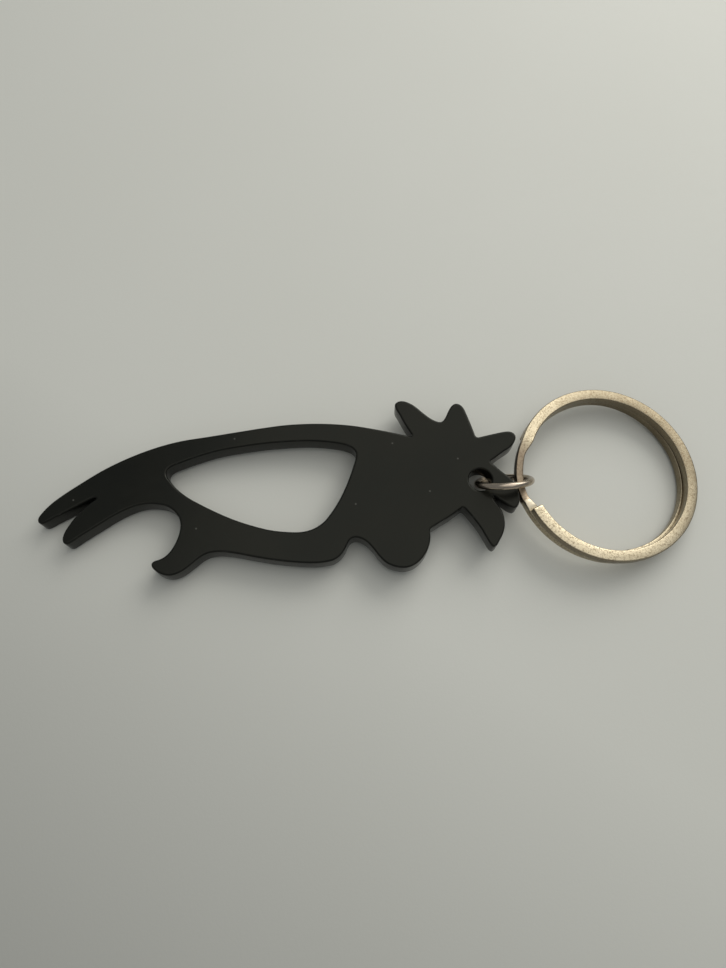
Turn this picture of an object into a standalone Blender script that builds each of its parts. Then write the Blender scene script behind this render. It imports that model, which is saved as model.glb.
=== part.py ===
"""Keychain bottle opener: a die-cut plate, a jump ring and a split key ring.

Metres, +Z up. +X runs along the plate from its forked tail to the key ring, and +Z is square to it.
The origin is on the plate's underside, in the solid area between the opening and the small hole.
"""
import math

import bmesh
import bpy
from mathutils import Matrix, Vector

MM = 0.001

# Plate: x is measured from the tail's tip, y from the line between tail and hole.
ORIGIN_X = 57.0
PLATE_THICKNESS = 3.2
PLATE_EDGE_RADIUS = 0.3
EDGE_RESOLUTION = 1
CURVE_STEP = 1.2
HOLE_X = 69.8
HOLE_RADIUS = 1.85
HOLE_POINTS = 28

# The outline is one closed smooth curve, named here stretch by stretch.
PRONG_AND_BACK = [
    (8.95, 2.85), (8.7, 2.95), (6.8, 2.2), (4.4, 1.05), (2.3, 0.1), (1.2, -0.45), (0.5, -0.65),
    (-0.05, -0.35), (-0.15, 0.3), (0.3, 1.05), (1.5, 2.35), (3.2, 3.65), (6.0, 5.4), (10.0, 7.65),
    (14.0, 9.35), (18.0, 10.6), (22.0, 11.4), (27.0, 11.8), (32.0, 12.2), (36.0, 12.5), (40.0, 12.65),
    (45.0, 12.35), (50.0, 11.55), (55.0, 10.15), (58.6, 8.95), (59.6, 8.6)]
REAR_SPIKE = [
    (59.85, 8.65), (59.7, 9.1), (58.8, 11.1), (58.2, 12.7), (57.7, 14.0), (57.75, 14.7), (58.3, 15.1),
    (59.2, 15.1), (60.3, 14.55), (61.2, 13.75), (62.3, 12.5), (63.3, 11.5), (64.2, 10.9), (64.85, 10.7)]
TOP_SPIKE = [
    (65.15, 10.8), (65.7, 11.4), (66.4, 12.6), (67.1, 13.5), (67.7, 13.8), (68.4, 13.6),
    (68.95, 12.9), (69.3, 11.7), (69.7, 10.0), (70.05, 8.3), (70.2, 7.6)]
FRONT_SPIKE = [
    (70.45, 7.4), (71.5, 7.5), (73.2, 7.75), (74.9, 7.95), (75.9, 7.9), (76.5, 7.5), (76.7, 6.9),
    (76.4, 6.1), (75.6, 5.2), (74.2, 4.4), (72.9, 3.6), (72.0, 3.05)]
RING_SPIKE = [
    (71.85, 2.8), (72.05, 2.6), (72.6, 2.05), (73.6, 0.9), (74.6, -0.15), (75.2, -1.1), (75.45, -2.1),
    (75.55, -3.2), (75.4, -4.2), (75.0, -4.95), (74.5, -5.25), (73.85, -5.0), (73.1, -4.35),
    (72.2, -3.5), (71.55, -2.9)]
CRESCENT = [
    (71.3, -2.85), (71.3, -3.2), (71.6, -4.0), (72.2, -5.0), (72.55, -6.4), (72.45, -7.9),
    (71.95, -9.2), (71.2, -10.3), (70.6, -11.05), (70.15, -11.2), (69.75, -10.8), (69.2, -9.5),
    (68.65, -8.1), (67.85, -6.55), (67.1, -5.3), (66.55, -4.5)]
THROAT = [(66.25, -4.35), (65.9, -4.55), (64.2, -5.6), (62.8, -6.3), (61.6, -6.9), (60.95, -7.25)]
LOBE = [
    (60.75, -7.5), (60.65, -8.6), (60.3, -9.9), (59.6, -11.15), (58.5, -12.3), (57.3, -12.95),
    (56.1, -13.15), (54.7, -12.85), (53.4, -12.15), (52.4, -11.0), (51.6, -9.7), (50.8, -8.6),
    (49.9, -7.9), (48.9, -7.6), (48.2, -7.85)]
BELLY = [
    (47.7, -8.5), (47.2, -9.4), (46.4, -10.3), (45.3, -10.9), (43.8, -11.1), (42.0, -11.05),
    (39.0, -10.6), (36.0, -9.95), (33.0, -9.15), (30.5, -8.4), (28.5, -7.95), (27.2, -7.85),
    (26.0, -8.0), (24.9, -8.5), (23.6, -9.45), (22.4, -10.25)]
CLAW = [
    (21.2, -10.75), (20.1, -10.85), (19.0, -10.5), (18.1, -9.85), (17.6, -9.2), (17.55, -8.7),
    (17.9, -8.35), (18.7, -8.15), (19.6, -7.75), (20.5, -6.9), (21.3, -5.6), (21.85, -4.1),
    (22.0, -2.7), (21.7, -1.5), (20.9, -0.4), (19.8, 0.4), (18.4, 0.85), (16.8, 1.05), (15.2, 0.9)]
LOWER_PRONG = [
    (13.4, 0.35), (11.5, -0.5), (9.8, -1.45), (8.2, -2.35), (6.6, -3.25), (5.4, -4.0), (4.6, -4.35),
    (4.0, -4.1), (3.8, -3.4), (4.1, -2.3), (4.8, -1.15), (5.8, 0.15), (7.1, 1.4), (8.1, 2.2),
    (8.8, 2.65)]
OUTLINE = (PRONG_AND_BACK + REAR_SPIKE + TOP_SPIKE + FRONT_SPIKE + RING_SPIKE + CRESCENT + THROAT
           + LOBE + BELLY + CLAW + LOWER_PRONG)
OPENING = [
    (20.6, 4.45), (21.6, 3.1), (23.2, 1.6), (25.2, 0.2), (27.6, -1.3), (30.4, -2.85), (33.2, -4.1),
    (36.0, -5.1), (38.6, -5.65), (40.9, -5.85), (42.7, -5.5), (44.3, -4.6), (45.7, -3.1), (47.2, -1.0),
    (48.5, 1.35), (49.6, 3.8), (50.3, 5.7), (50.4, 6.6), (49.9, 7.45), (48.8, 8.1), (46.6, 8.75),
    (43.5, 9.3), (40.0, 9.55), (36.0, 9.6), (32.0, 9.4), (28.0, 9.0), (24.6, 8.25), (22.2, 7.55),
    (20.7, 7.05), (20.0, 6.4), (19.95, 5.5)]

# Jump ring: it stands through the plate's hole, leaning towards -Y.
JUMP_CENTRE = (73.75, -0.4, 2.05)
JUMP_RADIUS = 4.25
JUMP_WIRE = 1.1
JUMP_LEAN_DEG = 29.5
JUMP_GAP_DEG = 6.0
JUMP_GAP_AT_DEG = 250.0
JUMP_POINTS = 48

# Key ring: two turns of flat wire. Angles are seen from +Z, from the ring's own +X.
RING_CENTRE = (90.76, -0.2, -1.158)
RING_TILT_DEG = 6.6
RING_RADIUS = 15.0
WIRE_WIDTH = 1.83
WIRE_HEIGHT = 1.44
WIRE_CORNER = 0.3
TURN_PITCH = 1.5
LOWER_TURN_SHIFT = (-0.22, 0.4)
TUCK_START_DEG = 785.0
TUCK_END_DEG = 845.0
CROSSOVER_WIDTH = 1.1
CROSSOVER_START_DEG = 512.0
CROSSOVER_END_DEG = 552.0
NARROWING_DEG = 14.0
UPPER_END_DEG = 201.5
LOWER_END_DEG = 870.0
RING_STEP_DEG = 6.5
JUMP_RING_AT_DEG = 540.0


def at(x, y, z):
    """A place on the object, from millimetres measured from the tail's tip."""
    return Vector(((x - ORIGIN_X) * MM, y * MM, z * MM))


def smooth_loop(points):
    """Points along a closed centripetal Catmull-Rom curve through the given ones."""
    knots = [Vector(p) for p in points]
    padded = [knots[-1], *knots, knots[0], knots[1]]
    curve = []
    for a, b, c, d in zip(padded, padded[1:], padded[2:], padded[3:]):
        t1 = math.sqrt((b - a).length)
        t2 = t1 + math.sqrt((c - b).length)
        t3 = t2 + math.sqrt((d - c).length)
        count = max(1, math.ceil((c - b).length / CURVE_STEP))
        for i in range(count):
            t = t1 + (t2 - t1) * i / count
            ab = a.lerp(b, t / t1)
            bc = b.lerp(c, (t - t1) / (t2 - t1))
            cd = c.lerp(d, (t - t2) / (t3 - t2))
            abc = ab.lerp(bc, t / t2)
            bcd = bc.lerp(cd, (t - t1) / (t3 - t1))
            curve.append(abc.lerp(bcd, (t - t1) / (t2 - t1)))
    return curve


def material(name, colour, metallic, roughness):
    made = bpy.data.materials.new(name)
    made.use_nodes = True
    shader = made.node_tree.nodes["Principled BSDF"]
    shader.inputs["Base Color"].default_value = (*colour, 1.0)
    shader.inputs["Metallic"].default_value = metallic
    shader.inputs["Roughness"].default_value = roughness
    return made


def add_object(name, data, finish):
    made = bpy.data.objects.new(name, data)
    bpy.context.scene.collection.objects.link(made)
    data.materials.append(finish)
    return made


def add_loop(curve, points):
    loop = curve.splines.new("POLY")
    loop.points.add(len(points) - 1)
    for target, (x, y) in zip(loop.points, points):
        target.co = ((x - ORIGIN_X) * MM, y * MM, 0.0, 1.0)
    loop.use_cyclic_u = True


def opener_plate():
    """The flat plate: a filled 2D curve, extruded, with rounded edges."""
    curve = bpy.data.curves.new("opener_plate", "CURVE")
    curve.dimensions = "2D"
    curve.fill_mode = "BOTH"
    curve.bevel_depth = PLATE_EDGE_RADIUS * MM
    curve.bevel_resolution = EDGE_RESOLUTION
    curve.offset = -PLATE_EDGE_RADIUS * MM
    curve.extrude = (PLATE_THICKNESS / 2 - PLATE_EDGE_RADIUS) * MM
    add_loop(curve, smooth_loop(OUTLINE))
    add_loop(curve, smooth_loop(OPENING))
    turns = [2 * math.pi * i / HOLE_POINTS for i in range(HOLE_POINTS)]
    add_loop(curve, [(HOLE_X + HOLE_RADIUS * math.cos(t), HOLE_RADIUS * math.sin(t)) for t in turns])
    plate = add_object("opener_plate", curve, material("black_anodised", (0.018, 0.018, 0.017), 0.6, 0.38))
    plate.location.z = PLATE_THICKNESS / 2 * MM
    return plate


def jump_ring():
    """A round wire bent into an open circle, with its origin at its centre."""
    curve = bpy.data.curves.new("jump_ring", "CURVE")
    curve.dimensions = "3D"
    curve.bevel_depth = JUMP_WIRE / 2 * MM
    curve.bevel_resolution = 3
    curve.use_fill_caps = True
    wire = curve.splines.new("POLY")
    wire.points.add(JUMP_POINTS - 1)
    first = JUMP_GAP_AT_DEG + JUMP_GAP_DEG / 2
    sweep = 360.0 - JUMP_GAP_DEG
    for i, point in enumerate(wire.points):
        turn = math.radians(first + sweep * i / (JUMP_POINTS - 1))
        point.co = (JUMP_RADIUS * math.cos(turn) * MM, 0.0, JUMP_RADIUS * math.sin(turn) * MM, 1.0)
    wire.use_smooth = True
    ring = add_object("jump_ring", curve, material("jump_ring_steel", (0.55, 0.52, 0.48), 1.0, 0.25))
    ring.location = at(*JUMP_CENTRE)
    ring.rotation_euler.x = math.radians(JUMP_LEAN_DEG)
    return ring


def ease(value, start, end):
    """0 before start, 1 after end, and a smooth step between them."""
    share = min(1.0, max(0.0, (value - start) / (end - start)))
    return share * share * (3.0 - 2.0 * share)


def wire_section(width, height, corner):
    """Corner points of the flat wire's section: outwards from its outer face, upwards from its base."""
    half = height / 2
    cut = corner * (1 - math.sqrt(0.5))
    outer = [(0, half), (0, corner), (-cut, cut), (-corner, 0)]
    inner = [(-width + corner, 0), (-width + cut, cut), (-width, corner), (-width, half)]
    lower = outer + inner
    upper = [(across, height - up) for across, up in reversed(lower[1:-1])]
    return lower + upper


def wire_offset(angle):
    """The wire's place off the ring's axis: the lower turn lies a little aside, but not its free end."""
    lowered = ease(angle, CROSSOVER_START_DEG, CROSSOVER_END_DEG)
    aside = lowered * (1.0 - ease(angle, TUCK_START_DEG, TUCK_END_DEG))
    aside_x, aside_y = LOWER_TURN_SHIFT
    return Vector((aside_x * aside, aside_y * aside, TURN_PITCH * (1.0 - lowered)))


def key_ring():
    """Two turns of flat wire, swept by angle, with one crossover and two free ends."""
    mesh = bmesh.new()
    steps = round((LOWER_END_DEG - UPPER_END_DEG) / RING_STEP_DEG)
    sections = []
    for i in range(steps + 1):
        angle = UPPER_END_DEG + (LOWER_END_DEG - UPPER_END_DEG) * i / steps
        narrow = ease(angle, CROSSOVER_START_DEG, CROSSOVER_START_DEG + NARROWING_DEG)
        narrow *= 1.0 - ease(angle, CROSSOVER_END_DEG, CROSSOVER_END_DEG + NARROWING_DEG)
        width = WIRE_WIDTH + (CROSSOVER_WIDTH - WIRE_WIDTH) * narrow
        direction = Vector((math.cos(math.radians(angle)), math.sin(math.radians(angle)), 0.0))
        section = []
        for across, up in wire_section(width, WIRE_HEIGHT, WIRE_CORNER):
            place = direction * (RING_RADIUS + across) + wire_offset(angle) + Vector((0.0, 0.0, up))
            section.append(mesh.verts.new(place * MM))
        sections.append(section)
    for section, following in zip(sections, sections[1:]):
        for j, vertex in enumerate(section):
            k = (j + 1) % len(section)
            mesh.faces.new((vertex, section[k], following[k], following[j]))
    mesh.faces.new(reversed(sections[0]))
    mesh.faces.new(sections[-1])
    bmesh.ops.recalc_face_normals(mesh, faces=mesh.faces)
    for face in mesh.faces:
        face.smooth = len(face.verts) == 4

    # The object's origin moves onto its joint's axis: the middle of the wire inside the jump ring.
    tilt = Matrix.Rotation(math.radians(RING_TILT_DEG), 4, "Y")
    pivot = wire_offset(JUMP_RING_AT_DEG)
    pivot += Vector((-RING_RADIUS + CROSSOVER_WIDTH / 2, 0.0, WIRE_HEIGHT / 2))
    pivot *= MM
    data = bpy.data.meshes.new("key_ring")
    bmesh.ops.transform(mesh, matrix=Matrix.Translation(-pivot), verts=mesh.verts)
    mesh.to_mesh(data)
    mesh.free()
    ring = add_object("key_ring", data, material("nickel_plate", (0.66, 0.60, 0.53), 1.0, 0.28))
    ring.location = at(*RING_CENTRE) + tilt @ pivot
    ring.rotation_euler.y = math.radians(RING_TILT_DEG)
    return ring


def main():
    for old in list(bpy.data.objects):
        bpy.data.objects.remove(old, do_unlink=True)
    opener_plate()
    jump_ring()
    key_ring()


main()
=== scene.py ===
import math

import bmesh
import bpy
import numpy as np
from mathutils import Matrix, Vector


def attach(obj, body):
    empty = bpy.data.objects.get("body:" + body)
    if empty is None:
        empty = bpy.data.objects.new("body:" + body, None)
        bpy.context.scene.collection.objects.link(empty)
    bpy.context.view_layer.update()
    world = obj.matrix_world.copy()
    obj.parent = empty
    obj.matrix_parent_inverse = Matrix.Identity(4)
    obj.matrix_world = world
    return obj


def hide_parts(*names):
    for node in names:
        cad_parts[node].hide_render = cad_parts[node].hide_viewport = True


# Keychain bottle opener, seen lying on a pale table.
#
# Lengths are millimetres, and MM turns them into the scene's metres. The plate's x is measured from
# its tail's tip, as in the CAD, and row() turns such a place into the row frame.
MM = 0.001

# Plate
ORIGIN_X = 57.0
PLATE_THICKNESS = 3.2
HOLE_X = 69.8
HOLE_RADIUS = 1.85
HOLE_POINTS = 72
CURVE_STEP = 0.3
CURVE_PARTS = 24

# The plate's edges are rounded to EDGE_RADIUS, or in a tight corner to a share of the corner's own
# radius, which changes slowly along the edge.
EDGE_RADIUS = 0.32
EDGE_STEPS = 6
CORNER_SHARE = 0.75
SMALLEST_BEND = 1e-6
EVENING_PASSES = 3

# Specks of dust on the plate's top: the x and y of each.
DUST = [(5.3, 2.8), (66.7, 3.9), (49.6, -2.2), (31.0, 10.9), (56.5, 7.6), (24.5, -3.8), (61.5, -1.2)]
SPECK_OUTER = 0.187
SPECK_INNER = 0.066

# The outline is one closed smooth curve, named here stretch by stretch.
PRONG_AND_BACK = [
    (8.95, 2.85), (8.7, 2.95), (6.8, 2.2), (4.4, 1.05), (2.3, 0.1), (1.2, -0.45), (0.5, -0.65),
    (-0.05, -0.35), (-0.15, 0.3), (0.3, 1.05), (1.5, 2.35), (3.2, 3.65), (6.0, 5.4), (10.0, 7.65),
    (14.0, 9.35), (18.0, 10.6), (22.0, 11.4), (27.0, 11.8), (32.0, 12.2), (36.0, 12.5), (40.0, 12.65),
    (45.0, 12.35), (50.0, 11.55), (55.0, 10.15), (58.6, 8.95), (59.6, 8.6)]
REAR_SPIKE = [
    (59.85, 8.65), (59.7, 9.1), (58.8, 11.1), (58.2, 12.7), (57.7, 14.0), (57.75, 14.7), (58.3, 15.1),
    (59.2, 15.1), (60.3, 14.55), (61.2, 13.75), (62.3, 12.5), (63.3, 11.5), (64.2, 10.9), (64.85, 10.7)]
TOP_SPIKE = [
    (65.15, 10.8), (65.7, 11.4), (66.4, 12.6), (67.1, 13.5), (67.7, 13.8), (68.4, 13.6),
    (68.95, 12.9), (69.3, 11.7), (69.7, 10.0), (70.05, 8.3), (70.2, 7.6)]
FRONT_SPIKE = [
    (70.45, 7.4), (71.5, 7.5), (73.2, 7.75), (74.9, 7.95), (75.9, 7.9), (76.5, 7.5), (76.7, 6.9),
    (76.4, 6.1), (75.6, 5.2), (74.2, 4.4), (72.9, 3.6), (72.0, 3.05)]
RING_SPIKE = [
    (71.85, 2.8), (72.05, 2.6), (72.6, 2.05), (73.6, 0.9), (74.6, -0.15), (75.2, -1.1), (75.45, -2.1),
    (75.55, -3.2), (75.4, -4.2), (75.0, -4.95), (74.5, -5.25), (73.85, -5.0), (73.1, -4.35),
    (72.2, -3.5), (71.55, -2.9)]
CRESCENT = [
    (71.3, -2.85), (71.3, -3.2), (71.6, -4.0), (72.2, -5.0), (72.55, -6.4), (72.45, -7.9),
    (71.95, -9.2), (71.2, -10.3), (70.6, -11.05), (70.15, -11.2), (69.75, -10.8), (69.2, -9.5),
    (68.65, -8.1), (67.85, -6.55), (67.1, -5.3), (66.55, -4.5)]
THROAT = [(66.25, -4.35), (65.9, -4.55), (64.2, -5.6), (62.8, -6.3), (61.6, -6.9), (60.95, -7.25)]
LOBE = [
    (60.75, -7.5), (60.65, -8.6), (60.3, -9.9), (59.6, -11.15), (58.5, -12.3), (57.3, -12.95),
    (56.1, -13.15), (54.7, -12.85), (53.4, -12.15), (52.4, -11.0), (51.6, -9.7), (50.8, -8.6),
    (49.9, -7.9), (48.9, -7.6), (48.2, -7.85)]
BELLY = [
    (47.7, -8.5), (47.2, -9.4), (46.4, -10.3), (45.3, -10.9), (43.8, -11.1), (42.0, -11.05),
    (39.0, -10.6), (36.0, -9.95), (33.0, -9.15), (30.5, -8.4), (28.5, -7.95), (27.2, -7.85),
    (26.0, -8.0), (24.9, -8.5), (23.6, -9.45), (22.4, -10.25)]
CLAW = [
    (21.2, -10.75), (20.1, -10.85), (19.0, -10.5), (18.1, -9.85), (17.6, -9.2), (17.55, -8.7),
    (17.9, -8.35), (18.7, -8.15), (19.6, -7.75), (20.5, -6.9), (21.3, -5.6), (21.85, -4.1),
    (22.0, -2.7), (21.7, -1.5), (20.9, -0.4), (19.8, 0.4), (18.4, 0.85), (16.8, 1.05), (15.2, 0.9)]
LOWER_PRONG = [
    (13.4, 0.35), (11.5, -0.5), (9.8, -1.45), (8.2, -2.35), (6.6, -3.25), (5.4, -4.0), (4.6, -4.35),
    (4.0, -4.1), (3.8, -3.4), (4.1, -2.3), (4.8, -1.15), (5.8, 0.15), (7.1, 1.4), (8.1, 2.2),
    (8.8, 2.65)]
OUTLINE = (PRONG_AND_BACK + REAR_SPIKE + TOP_SPIKE + FRONT_SPIKE + RING_SPIKE + CRESCENT + THROAT
           + LOBE + BELLY + CLAW + LOWER_PRONG)
OPENING = [
    (20.6, 4.45), (21.6, 3.1), (23.2, 1.6), (25.2, 0.2), (27.6, -1.3), (30.4, -2.85), (33.2, -4.1),
    (36.0, -5.1), (38.6, -5.65), (40.9, -5.85), (42.7, -5.5), (44.3, -4.6), (45.7, -3.1), (47.2, -1.0),
    (48.5, 1.35), (49.6, 3.8), (50.3, 5.7), (50.4, 6.6), (49.9, 7.45), (48.8, 8.1), (46.6, 8.75),
    (43.5, 9.3), (40.0, 9.55), (36.0, 9.6), (32.0, 9.4), (28.0, 9.0), (24.6, 8.25), (22.2, 7.55),
    (20.7, 7.05), (20.0, 6.4), (19.95, 5.5)]

# Jump ring: angles are seen from the front, from the ring's own +X towards its top.
JUMP_CENTRE = (73.75, -0.4, 2.05)
JUMP_RADIUS = 4.25
JUMP_WIRE = 1.1
JUMP_LEAN_DEG = 29.5
JUMP_GAP_DEG = 6.0
JUMP_GAP_AT_DEG = 250.0
JUMP_STEPS = 150
JUMP_SIDES = 28
JUMP_CHAMFER = 0.12

# Key ring: angles are seen from +Z, from the ring's own +X. The wire starts on the upper turn, passes
# down at the crossover, and ends on the lower turn.
RING_CENTRE = (90.76, -0.2, -1.158)
RING_TILT_DEG = 6.6
RING_RADIUS = 15.0
RING_STEP_DEG = 1.5
RING_CHAMFER = 0.12
WIRE_WIDTH = 1.83
WIRE_HEIGHT = 1.44
WIRE_CORNER = 0.2
CORNER_STEPS = 5
TURN_PITCH = 1.5
UPPER_END_DEG = 201.5
LOWER_END_DEG = 870.0

# The lower turn lies a little aside from the upper one, and its free end is tucked back under it.
LOWER_TURN_SHIFT = (-0.22, 0.4)
TUCK_START_DEG = 785.0
TUCK_END_DEG = 845.0

# The crossover is narrower and bulges outwards. The pad is the flat just past it, before the free end.
CROSSOVER_START_DEG = 512.0
CROSSOVER_END_DEG = 552.0
CROSSOVER_WIDTH = 1.1
CROSSOVER_BULGE = 0.12
NARROWING_DEG = 14.0
PAD_START_DEG = 556.0
PAD_END_DEG = 562.5
PAD_HEIGHT = 0.12
PAD_RAMP_DEG = 0.8
BULGE_FADE_DEG = 1.0

# How strongly painted shade darkens the wire's walls: fully on the outside of the upper turn, and less
# elsewhere, less still on the lower turn, whose walls face the lit table.
WALL_REACH = 0.07
INNER_WALL_SHADE = 0.3
LOWER_TURN_WALL_SHADE = 0.5
WALL_SHADE_FADE_DEG = 20.0

# Colours, as linear red, green and blue. A pair holds the two ends of a cloudy mixture.
BLACK = ((0.0062, 0.0070, 0.0062), (0.0090, 0.0092, 0.0074))
BLACK_GRAIN = (0.015, 0.015, 0.013)
BARE_EDGE = (0.10, 0.10, 0.095)
DUST_GREY = (0.09, 0.09, 0.08)
# Painted light and shade: the nickel's colours for the ring's shaded right and for its lit near left.
SHADED_NICKEL = ((0.21, 0.178, 0.12), (0.27, 0.23, 0.158))
LIT_NICKEL = ((0.64, 0.555, 0.385), (0.73, 0.635, 0.455))
NICKEL_SPECKLE = (0.19, 0.14, 0.085)
NICKEL_LINES = (0.25, 0.195, 0.13)
NICKEL_PITS = (0.12, 0.085, 0.05)
# Painted shade: the dark colour given to the wire's walls, standing for the shade and dark reflections
# there.
PAINTED_WALL_SHADE = (0.13, 0.10, 0.07)
# Painted shadow: the darker colour of the crossover, which passes down between the turns in shade.
PAINTED_CROSSOVER_SHADOW = (0.20, 0.14, 0.10)
# Painted shade: a near-black strip on the crossover's walls.
PAINTED_CROSSOVER_WALL_SHADE = (0.035, 0.028, 0.02)
POLISHED_PAD = (0.55, 0.49, 0.37)
STEEL = (0.52, 0.44, 0.35)
STEEL_SPECKLE = (0.30, 0.245, 0.18)
STEEL_LINES = (0.30, 0.255, 0.20)
BOARD = ((0.70, 0.70, 0.635), (0.73, 0.73, 0.67))
BOARD_IN_SHADE = (0.31, 0.31, 0.285)
ROOM = (0.93, 0.97, 1.0, 1.0)
ROOM_STRENGTH = 0.26

# A Mix node's sockets for colours.
MIX_FIRST = 6
MIX_SECOND = 7
MIX_RESULT = 2

# The table's frame: the camera and the lights are placed in it, with the table's top at z = 0.
PLATE_AT = (-49.99, -11.64, 0.0)
PLATE_HEADING_DEG = 10.0
PLATE_PITCH_DEG = 1.7
CAMERA_HEIGHT = 112.9
CAMERA_TILT_DEG = 20.7
CAMERA_ROLL_DEG = 4.7
CAMERA_NEAREST = 5.0
CAMERA_FARTHEST = 20000.0
SENSOR = 36.0
LENS = 27.04
FLOOR_SIZE = 5000.0

PLATE_ON_TABLE = (Matrix.Translation(PLATE_AT)
                  @ Matrix.Rotation(math.radians(PLATE_HEADING_DEG), 4, "Z")
                  @ Matrix.Rotation(math.radians(-PLATE_PITCH_DEG), 4, "Y"))
TABLE_TO_ROW = (Matrix.Scale(MM, 4) @ Matrix.Translation((-ORIGIN_X, 0.0, 0.0))
                @ PLATE_ON_TABLE.inverted())


# ---------------------------------------------------------------- shapes

def row(x, y, z):
    """A place on the object in the row frame, from millimetres measured from the tail's tip."""
    return Vector(((x - ORIGIN_X) * MM, y * MM, z * MM))


def ease(value, start, end):
    """0 before start, 1 after end, and a smooth step between them."""
    share = min(1.0, max(0.0, (value - start) / (end - start)))
    return share * share * (3.0 - 2.0 * share)


def plateau(value, rise_start, rise_end, fall_start, fall_end):
    """0, then a smooth rise to 1, then a smooth fall back to 0."""
    return ease(value, rise_start, rise_end) * (1.0 - ease(value, fall_start, fall_end))


def smooth_loop(points):
    """Evenly spaced points along a closed centripetal Catmull-Rom curve through the given ones."""
    knots = [Vector(p) for p in points]
    padded = [knots[-1], *knots, knots[0], knots[1]]
    curve = []
    for a, b, c, d in zip(padded, padded[1:], padded[2:], padded[3:]):
        t1 = math.sqrt((b - a).length)
        t2 = t1 + math.sqrt((c - b).length)
        t3 = t2 + math.sqrt((d - c).length)
        for i in range(CURVE_PARTS):
            t = t1 + (t2 - t1) * i / CURVE_PARTS
            ab = a.lerp(b, t / t1)
            bc = b.lerp(c, (t - t1) / (t2 - t1))
            cd = c.lerp(d, (t - t2) / (t3 - t2))
            abc = ab.lerp(bc, t / t2)
            bcd = bc.lerp(cd, (t - t1) / (t3 - t1))
            curve.append(tuple(abc.lerp(bcd, (t - t1) / (t2 - t1))))
    fine = np.array(curve + curve[:1])
    run = np.concatenate([[0.0], np.cumsum(np.linalg.norm(np.diff(fine, axis=0), axis=1))])
    count = math.ceil(run[-1] / CURVE_STEP)
    places = np.linspace(0.0, run[-1], count, endpoint=False)
    return np.stack([np.interp(places, run, fine[:, k]) for k in (0, 1)], 1)


def circle(x, y, radius, count):
    """Evenly spaced points round a circle."""
    turns = np.linspace(0.0, 2 * math.pi, count, endpoint=False)
    return np.stack([x + radius * np.cos(turns), y + radius * np.sin(turns)], 1)


def inward(loop, solid_inside):
    """For each point of a loop, the unit step into the solid and how far its edge may be rounded."""
    before, after = np.roll(loop, 1, 0), np.roll(loop, -1, 0)
    along = after - before
    along /= np.linalg.norm(along, axis=1)[:, None]
    left = np.stack([-along[:, 1], along[:, 0]], 1)
    x, y = loop[:, 0], loop[:, 1]
    area = 0.5 * np.sum(x * np.roll(y, -1) - np.roll(x, -1) * y)
    step = left if (area > 0) == solid_inside else -left
    first, second = loop - before, after - loop
    bend = np.sum((second / np.linalg.norm(second, axis=1)[:, None]
                   - first / np.linalg.norm(first, axis=1)[:, None]) * step, 1)
    radius = np.linalg.norm(second, axis=1) / np.maximum(bend, SMALLEST_BEND)
    room = np.minimum(EDGE_RADIUS, radius * CORNER_SHARE)
    for _ in range(EVENING_PASSES):
        room = np.minimum(room, (np.roll(room, 1) + room + np.roll(room, -1)) / 3)
    return step, room


def set_vectors(data, name, values):
    """Stores one vector per vertex of a mesh under this name."""
    attribute = data.attributes.new(name, "FLOAT_VECTOR", "POINT")
    attribute.data.foreach_set("vector", np.asarray(values, np.float32).ravel())


def finished_mesh(mesh, name):
    """A bmesh written out as mesh data, with all its faces pointing outwards."""
    bmesh.ops.recalc_face_normals(mesh, faces=mesh.faces)
    data = bpy.data.meshes.new(name)
    mesh.to_mesh(data)
    mesh.free()
    return data


def join_rings(mesh, ring, following):
    """A band of smooth quads between two closed rings of as many vertices."""
    for j, vertex in enumerate(ring):
        k = (j + 1) % len(ring)
        mesh.faces.new((vertex, ring[k], following[k], following[j])).smooth = True


def add_piece(data, node_name, body, finish):
    """The mesh as a piece that stands for a CAD node and rides on its body."""
    made = bpy.data.objects.new(node_name + "_visual", data)
    bpy.context.scene.collection.objects.link(made)
    data.materials.append(finish)
    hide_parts(node_name)
    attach(made, body)


def opener_plate():
    """The plate: one wall strip per edge loop, with rounded edges, and filled flat faces."""
    mesh = bmesh.new()
    roundness = mesh.verts.layers.float.new("edge")
    loops = [(smooth_loop(OUTLINE), True), (smooth_loop(OPENING), False),
             (circle(HOLE_X, 0.0, HOLE_RADIUS, HOLE_POINTS), False)]
    quarter = [math.pi / 2 * i / EDGE_STEPS for i in range(EDGE_STEPS + 1)]
    profile = [(1.0 - math.sin(a), EDGE_RADIUS * (1.0 - math.cos(a)), a) for a in quarter]
    profile += [(inset, PLATE_THICKNESS - up, a) for inset, up, a in reversed(profile)]
    top_rim, bottom_rim = [], []
    for loop, solid_inside in loops:
        step, room = inward(loop, solid_inside)
        rings = []
        for inset, height, turn in profile:
            ring = []
            for (x, y), (dx, dy), reach in zip(loop, step, room):
                vertex = mesh.verts.new(row(x + dx * inset * reach, y + dy * inset * reach, height))
                vertex[roundness] = math.sin(2 * turn)
                ring.append(vertex)
            rings.append(ring)
        for ring, above in zip(rings, rings[1:]):
            join_rings(mesh, ring, above)
        for rim, ring in ((bottom_rim, rings[0]), (top_rim, rings[-1])):
            rim += [mesh.edges.get((ring[i - 1], ring[i])) for i in range(len(ring))]
    for rim in (top_rim, bottom_rim):
        bmesh.ops.triangle_fill(mesh, use_beauty=True, use_dissolve=False, edges=rim)
    data = finished_mesh(mesh, "plate")
    add_piece(data, "opener_plate", "plate_body", anodised())


def stations(first, last, steps, ring_radius, chamfer):
    """Angles along a bent wire, each with how far its section is cut back, which is at its ends only."""
    turn = math.degrees(chamfer / ring_radius)
    inner = [(first + turn + (last - first - 2 * turn) * i / steps, 0.0) for i in range(steps + 1)]
    return [(first, chamfer), *inner, (last, chamfer)]


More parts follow.
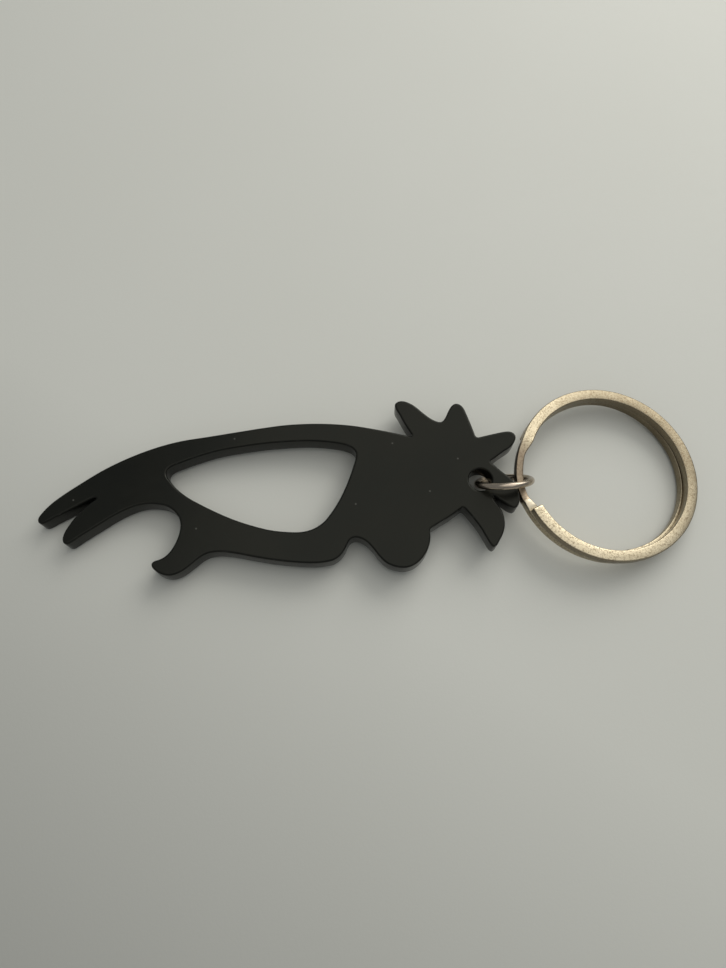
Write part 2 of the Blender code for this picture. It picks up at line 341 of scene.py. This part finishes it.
def sweep(sections, wire_places):
    """A closed solid through the given sections, which all have as many points, with flat ends."""
    mesh = bmesh.new()
    rings = [[mesh.verts.new(place) for place in section] for section in sections]
    for ring, following in zip(rings, rings[1:]):
        join_rings(mesh, ring, following)
    mesh.faces.new(reversed(rings[0]))
    mesh.faces.new(rings[-1])
    data = finished_mesh(mesh, "wire")
    set_vectors(data, "wire", wire_places)
    return data


def jump_ring():
    """Round wire bent into a circle, whose two chamfered ends nearly meet."""
    lean = Matrix.Rotation(math.radians(JUMP_LEAN_DEG), 4, "X")
    centre = row(*JUMP_CENTRE)
    first = JUMP_GAP_AT_DEG + JUMP_GAP_DEG / 2
    last = JUMP_GAP_AT_DEG + 360.0 - JUMP_GAP_DEG / 2
    sections, places = [], []
    for angle, cut in stations(first, last, JUMP_STEPS, JUMP_RADIUS, JUMP_CHAMFER):
        a = math.radians(angle)
        direction = Vector((math.cos(a), 0.0, math.sin(a)))
        section = []
        for j in range(JUMP_SIDES):
            b = 2 * math.pi * j / JUMP_SIDES
            outwards = (JUMP_WIRE / 2 - cut) * math.cos(b)
            sideways = (JUMP_WIRE / 2 - cut) * math.sin(b)
            place = direction * (JUMP_RADIUS + outwards) + Vector((0.0, sideways, 0.0))
            section.append(centre + lean @ (place * MM))
            places.append((a * JUMP_RADIUS, outwards, sideways))
        sections.append(section)
    add_piece(sweep(sections, places), "jump_ring", "jump_ring_body", jump_steel())


def wire_section(width, height, corner):
    """The flat wire's section: outwards from its outer face, upwards from its underside."""
    points = []
    quarters = [(-corner, height - corner, 0.0), (-width + corner, height - corner, 90.0),
                (-width + corner, corner, 180.0), (-corner, corner, 270.0)]
    for x, y, start in quarters:
        for i in range(CORNER_STEPS + 1):
            a = math.radians(start + 90.0 * i / CORNER_STEPS)
            points.append((x + corner * math.cos(a), y + corner * math.sin(a)))
    return points


def wire_offset(angle):
    """The wire's place off the ring's axis: the lower turn lies a little aside, but not its free end."""
    lowered = ease(angle, CROSSOVER_START_DEG, CROSSOVER_END_DEG)
    aside = lowered * (1.0 - ease(angle, TUCK_START_DEG, TUCK_END_DEG))
    aside_x, aside_y = LOWER_TURN_SHIFT
    return Vector((aside_x * aside, aside_y * aside, TURN_PITCH * (1.0 - lowered)))


def wall_shade_share(across, width):
    """How much painted shade darkens the wire at a place across it: only its outer and inner walls are
    darkened.
    """
    if across > -WALL_REACH:
        return 1.0
    return INNER_WALL_SHADE if across < -width + WALL_REACH else 0.0


def key_ring():
    """Two turns of flat wire, swept by angle, with one crossover and two free ends."""
    tilt = Matrix.Rotation(math.radians(RING_TILT_DEG), 4, "Y")
    centre = row(*RING_CENTRE)
    steps = round((LOWER_END_DEG - UPPER_END_DEG) / RING_STEP_DEG)
    narrowed_deg = CROSSOVER_START_DEG + NARROWING_DEG
    sections, places, sides = [], [], []
    for angle, cut in stations(UPPER_END_DEG, LOWER_END_DEG, steps, RING_RADIUS, RING_CHAMFER):
        narrow = plateau(angle, CROSSOVER_START_DEG, narrowed_deg,
                         CROSSOVER_END_DEG, CROSSOVER_END_DEG + NARROWING_DEG)
        passing = plateau(angle, CROSSOVER_START_DEG, narrowed_deg,
                          PAD_START_DEG - BULGE_FADE_DEG, PAD_START_DEG)
        pad = plateau(angle, PAD_START_DEG, PAD_START_DEG + PAD_RAMP_DEG,
                      PAD_END_DEG - PAD_RAMP_DEG, PAD_END_DEG)
        # Painted shade on the walls, weaker on the lower turn, whose walls face the lit table.
        lower = ease(angle, CROSSOVER_END_DEG - WALL_SHADE_FADE_DEG, CROSSOVER_END_DEG)
        wall_shade_scale = 1.0 + (LOWER_TURN_WALL_SHADE - 1.0) * lower
        bulge = CROSSOVER_BULGE * passing
        width = WIRE_WIDTH + (CROSSOVER_WIDTH - WIRE_WIDTH) * narrow + bulge
        a = math.radians(angle)
        direction = Vector((math.cos(a), math.sin(a), 0.0))
        section = []
        for across, up in wire_section(width - 2 * cut, WIRE_HEIGHT - 2 * cut, WIRE_CORNER - cut):
            lift = PAD_HEIGHT * pad if up > WIRE_HEIGHT / 2 else 0.0
            place = direction * (RING_RADIUS + bulge + across - cut)
            place += wire_offset(angle) + Vector((0.0, 0.0, up + cut + lift))
            section.append(centre + tilt @ (place * MM))
            places.append((a * RING_RADIUS, across, up))
            # Each point's painted wall shade, then its crossover and pad shares.
            sides.append((wall_shade_share(across + cut, width) * wall_shade_scale, passing, pad))
        sections.append(section)
    data = sweep(sections, places)
    set_vectors(data, "side", sides)
    add_piece(data, "key_ring", "key_ring_body", nickel())


# ---------------------------------------------------------------- materials

def node(tree, kind, inputs=None, **settings):
    """A new node with its settings, whose inputs are numbers or other nodes' outputs."""
    made = tree.nodes.new(kind)
    for key, value in settings.items():
        setattr(made, key, value)
    for key, value in (inputs or {}).items():
        if isinstance(value, bpy.types.NodeSocket):
            tree.links.new(value, made.inputs[key])
        else:
            made.inputs[key].default_value = value
    return made


def new_material(name, **constants):
    """A new material whose Principled shader has these constant inputs, and its node tree."""
    made = bpy.data.materials.new(name)
    made.use_nodes = True
    shader = made.node_tree.nodes["Principled BSDF"]
    for key, value in constants.items():
        shader.inputs[key.replace("_", " ")].default_value = value
    return made, made.node_tree


def finished(made, colour, roughness, height, depth):
    """The material with its colour, its roughness and a relief of this depth linked to its shader."""
    tree = made.node_tree
    bump = node(tree, "ShaderNodeBump", {"Height": height, "Distance": depth * MM, "Strength": 1.0})
    shader = tree.nodes["Principled BSDF"]
    tree.links.new(colour, shader.inputs["Base Color"])
    tree.links.new(roughness, shader.inputs["Roughness"])
    tree.links.new(bump.outputs["Normal"], shader.inputs["Normal"])
    return made


def surface_mm(tree):
    """Places on the piece in millimetres, in the row frame."""
    place = node(tree, "ShaderNodeTexCoord").outputs["Object"]
    return node(tree, "ShaderNodeVectorMath", {0: place, "Scale": 1 / MM}, operation="SCALE").outputs[0]


def stored(tree, name, output="Vector"):
    """What the mesh stores at its vertices under this name."""
    return node(tree, "ShaderNodeAttribute", attribute_name=name).outputs[output]


def split(tree, vector):
    """A vector's X, Y and Z."""
    return node(tree, "ShaderNodeSeparateXYZ", {0: vector}).outputs


def stretched(tree, vector, scale):
    """A vector times one factor along each axis."""
    return node(tree, "ShaderNodeVectorMath", {0: vector, 1: scale}, operation="MULTIPLY").outputs[0]


def noise(tree, vector, scale, detail=2.0, roughness=0.5):
    """Cloudy values round 0.5, whose largest forms are about 1/scale across."""
    inputs = {"Vector": vector, "Scale": scale, "Detail": detail, "Roughness": roughness}
    return node(tree, "ShaderNodeTexNoise", inputs).outputs["Fac"]


def draw_lines(tree, along, across):
    """Fine lines that run along the wire, each about 1/along long and 1/across wide."""
    wire = stretched(tree, stored(tree, "wire"), (along, across, across))
    return noise(tree, wire, scale=1.0, detail=3.0, roughness=0.6)


def spots(tree, vector, scale, size, soft):
    """1 inside small round spots scattered about 1/scale apart, 0 between them."""
    away = node(tree, "ShaderNodeTexVoronoi", {"Vector": vector, "Scale": scale}).outputs["Distance"]
    return between(tree, away, (size + soft, size))


def between(tree, value, source, target=(0.0, 1.0)):
    """A value carried from its source range to the target range, and held at that range's ends."""
    inputs = {"Value": value, "From Min": source[0], "From Max": source[1],
              "To Min": target[0], "To Max": target[1]}
    return node(tree, "ShaderNodeMapRange", inputs).outputs["Result"]


def product(tree, first, second):
    """Two values multiplied."""
    return node(tree, "ShaderNodeMath", {0: first, 1: second}, operation="MULTIPLY").outputs[0]


def total(tree, first, second):
    """Two values added."""
    return node(tree, "ShaderNodeMath", {0: first, 1: second}, operation="ADD").outputs[0]


def towards(tree, place, x, y):
    """How far a place lies in the direction x, y, times that direction's length."""
    parts = split(tree, place)
    return total(tree, product(tree, parts["X"], x), product(tree, parts["Y"], y))


def mixed(tree, share, first, second):
    """The first colour where share is 0 and the second where it is 1."""
    inputs = {0: share}
    for index, colour in ((MIX_FIRST, first), (MIX_SECOND, second)):
        inputs[index] = colour if isinstance(colour, bpy.types.NodeSocket) else (*colour, 1.0)
    return node(tree, "ShaderNodeMix", inputs, data_type="RGBA").outputs[MIX_RESULT]


def anodised():
    """Satin black anodised aluminium: fine grain, faint clouding, dust, and wear on the edges."""
    made, tree = new_material("satin_black", Metallic=0.0, Specular_IOR_Level=0.2,
                              Specular_Tint=(1.0, 1.0, 0.84, 1.0))
    place = surface_mm(tree)
    cloud = between(tree, noise(tree, place, scale=0.09, detail=3.0), (0.35, 0.65))
    grain = noise(tree, place, scale=9.0, detail=3.0, roughness=0.6)
    colour = mixed(tree, cloud, *BLACK)
    colour = mixed(tree, between(tree, grain, (0.35, 0.75), (0.0, 0.35)), colour, BLACK_GRAIN)
    patch = between(tree, noise(tree, place, scale=0.9, detail=4.0, roughness=0.65), (0.55, 0.72))
    worn = product(tree, between(tree, stored(tree, "edge", "Fac"), (0.75, 1.0)), patch)
    colour = mixed(tree, product(tree, worn, 0.35), colour, BARE_EDGE)
    for x, y in DUST:
        centre = (x - ORIGIN_X, y, PLATE_THICKNESS)
        away = node(tree, "ShaderNodeVectorMath", {0: place, 1: centre}, operation="DISTANCE")
        speck = between(tree, away.outputs["Value"], (SPECK_OUTER, SPECK_INNER))
        colour = mixed(tree, speck, colour, DUST_GREY)
    rough = between(tree, noise(tree, place, scale=0.7, detail=3.0), (0.3, 0.7), (0.18, 0.24))
    rough = total(tree, rough, product(tree, worn, -0.06))
    scratches = noise(tree, stretched(tree, place, (0.25, 7.0, 1.0)), scale=1.0)
    scratches = between(tree, scratches, (0.62, 0.8))
    height = total(tree, grain, product(tree, scratches, 0.5))
    return finished(made, colour, rough, height, depth=0.006)


def nickel():
    """Warm nickel plate on drawn wire: fine pits and speckle, faint lines along the wire."""
    made, tree = new_material("warm_nickel", Metallic=1.0)
    place = surface_mm(tree)
    lines = draw_lines(tree, along=0.12, across=9.0)
    cloud = between(tree, noise(tree, place, scale=0.35, detail=4.0, roughness=0.6), (0.3, 0.7))
    speckle = noise(tree, place, scale=3.2, detail=4.0, roughness=0.7)
    pits = spots(tree, place, scale=1.6, size=0.10, soft=0.08)

    # Painted light and shade: the nickel is painted darker on the ring's right and lighter at its near
    # left, following how the light falls on it.
    painted_light_share = between(tree, towards(tree, place, -1.3, -1.0), (-64.0, -26.0))
    colour = mixed(tree, painted_light_share, mixed(tree, cloud, *SHADED_NICKEL), mixed(tree, cloud, *LIT_NICKEL))
    colour = mixed(tree, between(tree, speckle, (0.48, 0.64), (0.0, 0.75)), colour, NICKEL_SPECKLE)
    colour = mixed(tree, between(tree, lines, (0.5, 0.8), (0.0, 0.3)), colour, NICKEL_LINES)
    colour = mixed(tree, product(tree, pits, 0.6), colour, NICKEL_PITS)

    # The ring's "side" holds its walls' painted shade in X, the crossover's painted shadow in Y and the
    # pad in Z.
    side = split(tree, stored(tree, "side"))
    colour = mixed(tree, product(tree, side["X"], 0.7), colour, PAINTED_WALL_SHADE)
    # Painted shadow over the crossover.
    colour = mixed(tree, product(tree, side["Y"], 0.7), colour, PAINTED_CROSSOVER_SHADOW)
    # Painted shade: the crossover's walls are made near black.
    crossover_wall_shade = product(tree, side["X"], side["Y"])
    colour = mixed(tree, product(tree, crossover_wall_shade, 0.9), colour, PAINTED_CROSSOVER_WALL_SHADE)
    colour = mixed(tree, side["Z"], colour, POLISHED_PAD)

    rough = between(tree, speckle, (0.3, 0.7), (0.24, 0.38))
    height = total(tree, product(tree, speckle, 0.7), product(tree, lines, 0.6))
    height = total(tree, height, product(tree, pits, -0.8))
    return finished(made, colour, rough, height, depth=0.008)


def jump_steel():
    """Bright plated round wire with draw lines."""
    made, tree = new_material("bright_wire", Metallic=1.0)
    lines = draw_lines(tree, along=0.2, across=10.0)
    speckle = noise(tree, surface_mm(tree), scale=6.0, detail=3.0, roughness=0.65)
    colour = mixed(tree, between(tree, speckle, (0.4, 0.75), (0.0, 0.5)), STEEL, STEEL_SPECKLE)
    colour = mixed(tree, between(tree, lines, (0.5, 0.8), (0.0, 0.35)), colour, STEEL_LINES)
    rough = between(tree, lines, (0.3, 0.7), (0.16, 0.28))
    height = total(tree, lines, product(tree, speckle, 0.5))
    return finished(made, colour, rough, height, depth=0.006)


def table_top():
    """Plain pale board with the slightest grain, which darkens towards the near left."""
    made, tree = new_material("pale_board", Metallic=0.0, Specular_IOR_Level=0.3)
    place = surface_mm(tree)
    cloud = noise(tree, place, scale=0.02, detail=3.0)
    shade = between(tree, towards(tree, place, -0.8, -1.0), (20.0, 175.0))
    colour = mixed(tree, shade, mixed(tree, cloud, *BOARD), BOARD_IN_SHADE)
    rough = between(tree, noise(tree, place, scale=1.2, detail=4.0), (0.3, 0.7), (0.6, 0.7))
    grain = noise(tree, place, scale=2.5, detail=4.0)
    return finished(made, colour, rough, grain, depth=0.01)


# ---------------------------------------------------------------- studio

def in_row(place, rotation):
    """The row frame's matrix of something at a place on the table, turned so."""
    there = TABLE_TO_ROW @ Vector(place)
    turned = TABLE_TO_ROW.to_quaternion() @ rotation
    return Matrix.Translation(there) @ turned.to_matrix().to_4x4()


def table():
    """The table's top, as a wide square."""
    half = FLOOR_SIZE / 2
    corners = [(-half, -half, 0.0), (half, -half, 0.0), (half, half, 0.0), (-half, half, 0.0)]
    data = bpy.data.meshes.new("table")
    data.from_pydata([TABLE_TO_ROW @ Vector(c) for c in corners], [], [(0, 1, 2, 3)])
    data.materials.append(table_top())
    floor = bpy.data.objects.new("table", data)
    bpy.context.scene.collection.objects.link(floor)


def panel(name, place, aim, width, height, watts, colour):
    """An area light at a place over the table, aimed at another place."""
    light = bpy.data.lights.new(name, "AREA")
    light.shape = "RECTANGLE"
    light.size = width * MM
    light.size_y = height * MM
    light.energy = watts
    light.color = colour
    made = bpy.data.objects.new(name, light)
    made.visible_camera = False
    bpy.context.scene.collection.objects.link(made)
    facing = (Vector(aim) - Vector(place)).to_track_quat("-Z", "Y")
    made.matrix_world = in_row(place, facing)


def room():
    """Faint even light from all round."""
    world = bpy.data.worlds.new("room")
    world.use_nodes = True
    background = world.node_tree.nodes["Background"]
    background.inputs["Color"].default_value = ROOM
    background.inputs["Strength"].default_value = ROOM_STRENGTH
    bpy.context.scene.world = world


def camera():
    """The camera leans back over the near side, and looks at the table frame's origin."""
    tilt, roll = math.radians(CAMERA_TILT_DEG), math.radians(CAMERA_ROLL_DEG)
    facing = Matrix.Rotation(tilt, 3, "X") @ Matrix.Rotation(roll, 3, "Z")
    data = bpy.data.cameras.new("camera")
    data.sensor_width = SENSOR
    data.lens = LENS
    data.clip_start = CAMERA_NEAREST * MM
    data.clip_end = CAMERA_FARTHEST * MM
    made = bpy.data.objects.new("camera", data)
    bpy.context.scene.collection.objects.link(made)
    place = (0.0, -CAMERA_HEIGHT * math.tan(tilt), CAMERA_HEIGHT)
    made.matrix_world = in_row(place, facing.to_quaternion())
    bpy.context.scene.camera = made


def studio():
    """The table, its lights and the camera."""
    table()
    panel("window", place=(190.0, 330.0, 250.0), aim=(20.0, 30.0, 0.0), width=380.0, height=280.0,
          watts=0.78, colour=(1.0, 0.99, 0.96))
    panel("ceiling", place=(95.0, 120.0, 330.0), aim=(60.0, 30.0, 0.0), width=420.0, height=560.0,
          watts=0.56, colour=(1.0, 0.985, 0.95))
    room()
    bpy.context.scene.view_settings.view_transform = "Standard"
    camera()


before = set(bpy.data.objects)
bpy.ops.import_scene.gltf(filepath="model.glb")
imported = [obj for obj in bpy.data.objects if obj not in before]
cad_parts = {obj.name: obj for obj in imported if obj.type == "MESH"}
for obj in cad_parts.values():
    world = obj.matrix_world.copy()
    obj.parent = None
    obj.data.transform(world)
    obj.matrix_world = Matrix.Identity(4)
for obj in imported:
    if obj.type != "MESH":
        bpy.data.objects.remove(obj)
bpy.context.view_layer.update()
opener_plate()
jump_ring()
key_ring()
studio()
